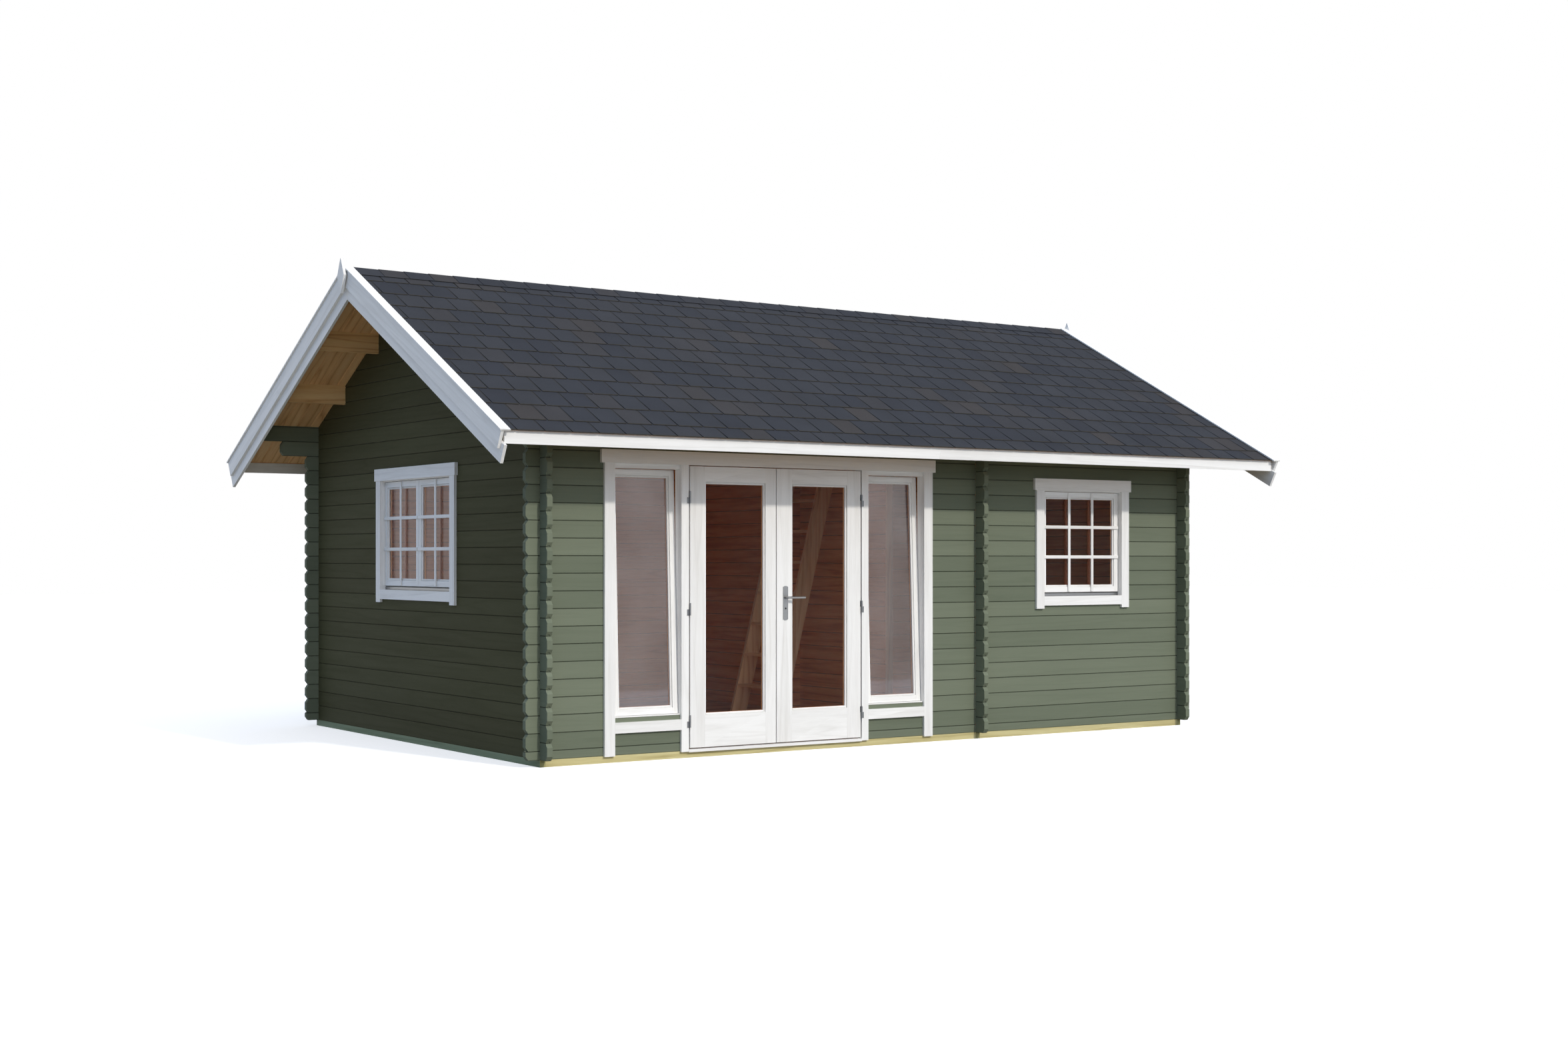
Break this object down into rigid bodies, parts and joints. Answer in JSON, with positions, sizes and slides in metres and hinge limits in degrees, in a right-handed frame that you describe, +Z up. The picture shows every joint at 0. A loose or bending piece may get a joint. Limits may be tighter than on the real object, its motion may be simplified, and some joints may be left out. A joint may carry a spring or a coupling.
{
  "type": "log cabin",
  "caption": "Garden log cabin with notched log walls, a shingled gable roof, glazed double doors with tipped side windows, and inner rooms.",
  "frame": {"origin": "middle of the house's plan, at the underside of the bearers", "axes": "+X along the front from the double doors towards the small window, +Y from the front to the back, +Z up"},
  "size_m": [6.8306, 4.9478, 3.4281],
  "materials": {
    "green_stain": "matt sage green stain over softwood logs",
    "white_paint": "satin white paint on wood",
    "raw_wood": "bare softwood",
    "inner_wood": "bare softwood logs",
    "treated_wood": "pressure treated softwood",
    "shingle": "mineral granules on bitumen",
    "glass": "clear glass",
    "zinc": "zinc plated steel",
    "steel": "satin steel"
  },
  "bodies": {
    "house": {"cross_bearers": "treated_wood", "long_bearers": "treated_wood", "floor_joists": "treated_wood", "main_room_floor": "raw_wood", "second_room_floor": "raw_wood", "front_wall_left": "green_stain", "front_wall_right": "green_stain", "front_wall_sills": "green_stain", "front_wall_top": "green_stain", "back_wall": "green_stain", "left_wall": "green_stain", "left_gable": "green_stain", "right_wall": "green_stain", "right_gable": "green_stain", "partition_wall": "inner_wood", "cross_wall": "inner_wood", "doorway_lining": "white_paint", "purlins": "raw_wood", "front_roof_boards": "raw_wood", "back_roof_boards": "raw_wood", "front_shingles": "shingle", "back_shingles": "shingle", "ridge_shingles": "shingle", "bargeboards": "white_paint", "lower_bargeboards": "white_paint", "cap_strips": "white_paint", "finials": "white_paint", "fascia_boards": "white_paint", "eaves_strips": "raw_wood", "gable_window_trim": "white_paint", "gable_window_frame": "white_paint", "gable_window_sashes": "white_paint", "gable_window_glass": "glass", "front_window_trim": "white_paint", "front_window_frame": "white_paint", "front_window_sash": "white_paint", "front_window_glass": "glass", "entrance_trim": "white_paint", "entrance_frame": "white_paint", "threshold": "white_paint", "side_light_sashes": "white_paint", "side_light_glass": "glass", "frame_hinges": "zinc", "ladder_stiles": "raw_wood", "ladder_treads": "raw_wood"},
    "left_door": {"left_door_leaf": "white_paint", "left_door_glass": "glass", "left_door_hinges": "zinc"},
    "right_door": {"right_door_leaf": "white_paint", "right_door_glass": "glass", "right_door_hinges": "zinc", "lock_plates": "steel"},
    "lever": {"lever_handle": "steel"}
  },
  "joints": [
    {"name": "left_door_hinge", "type": "hinge", "parent": "house", "child": "left_door", "pos_m": [-1.747, -1.952, 0], "axis": [0, 0, -1], "range_deg": [0, 110]},
    {"name": "right_door_hinge", "type": "hinge", "parent": "house", "child": "right_door", "pos_m": [-0.327, -1.952, 0], "axis": [0, 0, 1], "range_deg": [0, 110]},
    {"name": "lever_turn", "type": "hinge", "parent": "right_door", "child": "lever", "pos_m": [-0.9745, -1.985, 1.059], "axis": [0, 1, 0], "range_deg": [0, 40], "stiffness_Nm_per_rad": 0.6}
  ]
}
